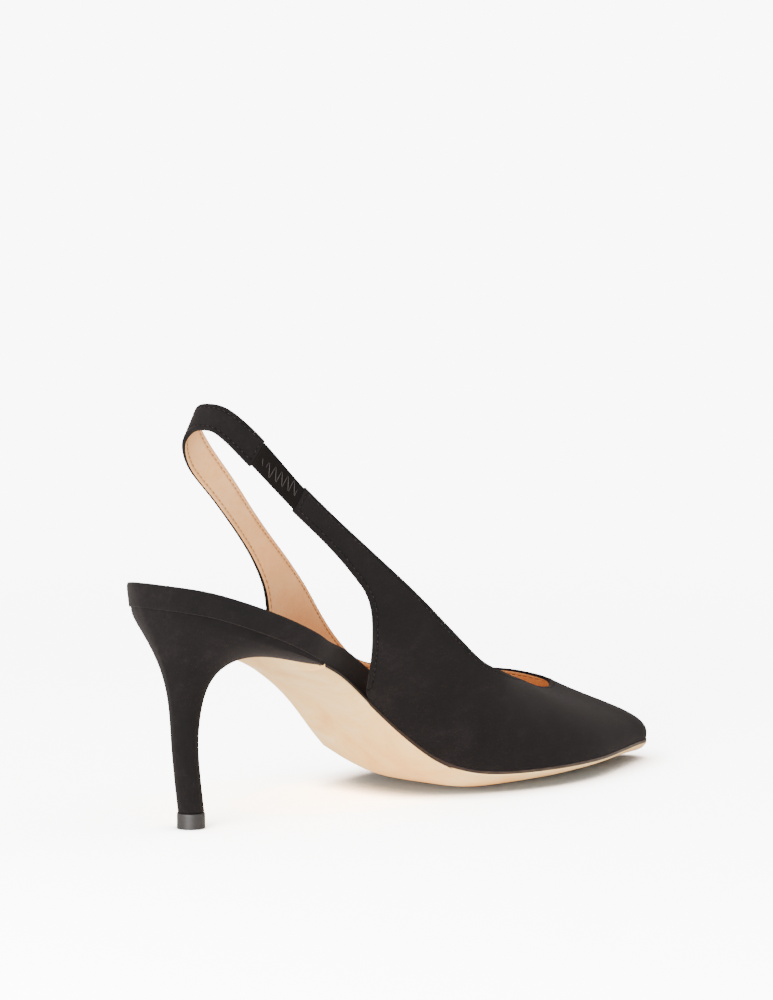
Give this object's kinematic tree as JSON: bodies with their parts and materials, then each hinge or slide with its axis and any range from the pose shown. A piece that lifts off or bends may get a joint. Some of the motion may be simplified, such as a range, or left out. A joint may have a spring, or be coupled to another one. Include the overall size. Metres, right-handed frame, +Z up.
{
  "type": "slingback pump",
  "caption": "Pointed slingback pump in black suede with a curved stiletto heel, covered seat rim, elastic at the inner end of its strap, tan lining and a leather sole; left shoe.",
  "frame": {"origin": "on the floor, under the middle of the shoe's bounding box", "axes": "+X from the heel to the toe, +Y to the outer side of the left foot, +Z up"},
  "size_m": [0.2462, 0.0752, 0.1415],
  "materials": {
    "upper": "black goat suede, short nap",
    "elastic": "black woven elastic",
    "seat_rim": "black goat suede, short nap",
    "insole": "tan lining leather, soft satin",
    "outsole": "natural sole leather, smooth satin",
    "heel": "black goat suede, short nap",
    "top_piece": "hard dark grey heel rubber, satin"
  },
  "bodies": {
    "root": {"upper": "upper", "elastic": "elastic", "seat_rim": "seat_rim", "insole": "insole", "outsole": "outsole", "heel": "heel", "top_piece": "top_piece"}
  },
  "joints": []
}
